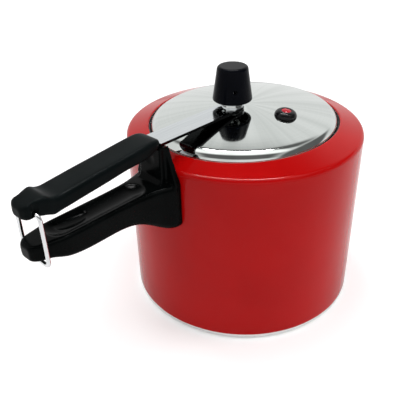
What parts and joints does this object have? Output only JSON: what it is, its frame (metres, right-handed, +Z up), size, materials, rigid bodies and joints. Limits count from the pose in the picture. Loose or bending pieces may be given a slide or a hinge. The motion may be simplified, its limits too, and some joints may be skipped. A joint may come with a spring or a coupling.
{
  "type": "stovetop pressure cooker",
  "caption": "Stovetop pressure cooker with an oval lid that closes from inside, lever bar handles clamped by a wire bail, and a pressure weight.",
  "frame": {"origin": "centre of the pot's flat underside", "axes": "+Z up out of the pot, -X along the two handles, Y across them with the safety valve on the -Y side"},
  "size_m": [0.33, 0.208, 0.217],
  "materials": {
    "enamel": "glossy red enamel outside, satin bare aluminium inside and under the base",
    "lid_aluminium": "polished with faint spun rings",
    "bar_steel": "polished stainless steel, fine lengthwise grain",
    "bracket_steel": "plain pressed steel",
    "fastener_steel": "zinc plated",
    "stem_steel": "turned stainless steel",
    "rivet_aluminium": "satin",
    "bail_wire": "bright drawn wire",
    "insert_brass": "knurled, satin",
    "handle_plastic": "black moulded phenolic, fine satin",
    "grip_plastic": "black moulded phenolic, glossier",
    "rubber": "moulded",
    "valve_rubber": "moulded, slightly glossy",
    "pin_plastic": "dark red"
  },
  "bodies": {
    "pot": {"pot_body": "enamel", "handle_bracket": "bracket_steel", "bracket_rivets": "rivet_aluminium", "bracket_nuts": "fastener_steel", "lower_handle": "grip_plastic", "lower_handle_screws": "fastener_steel", "lower_handle_washers": "fastener_steel"},
    "lid_assembly": {"lid": "lid_aluminium", "lid_gasket": "rubber", "lid_bar": "bar_steel", "bar_spacer": "fastener_steel", "vent_stem": "stem_steel", "stem_seal": "rubber", "stem_washer": "fastener_steel", "stem_nut": "stem_steel", "upper_handle": "handle_plastic", "upper_handle_screws": "fastener_steel", "upper_handle_inserts": "insert_brass", "safety_valve_body": "valve_rubber"},
    "bail": {"handle_bail": "bail_wire"},
    "weight": {"weight_cap": "handle_plastic", "weight_core": "stem_steel", "weight_needle": "stem_steel", "weight_clip": "fastener_steel"},
    "safety_indicator": {"safety_pin": "pin_plastic"}
  },
  "joints": [
    {"name": "lid_lift", "type": "hinge", "parent": "pot", "child": "lid_assembly", "pos_m": [-0.1054, 0, 0.17897], "axis": [0, 1, 0], "range_deg": [0, 4]},
    {"name": "bail_swing", "type": "hinge", "parent": "lid_assembly", "child": "bail", "pos_m": [-0.2183, 0, 0.17519], "axis": [0, 1, 0], "range_deg": [0, 150]},
    {"name": "weight_lift", "type": "slide", "parent": "lid_assembly", "child": "weight", "axis": [0, 0, 1], "range_m": [0, 0.03]},
    {"name": "safety_pop", "type": "slide", "parent": "lid_assembly", "child": "safety_indicator", "axis": [0.0159, -0.1202, 0.9926], "range_m": [0, 0.004]}
  ],
  "couplings": [
    {"joint": "bail_swing", "follows": "lid_lift", "ratio": 37.5}
  ]
}
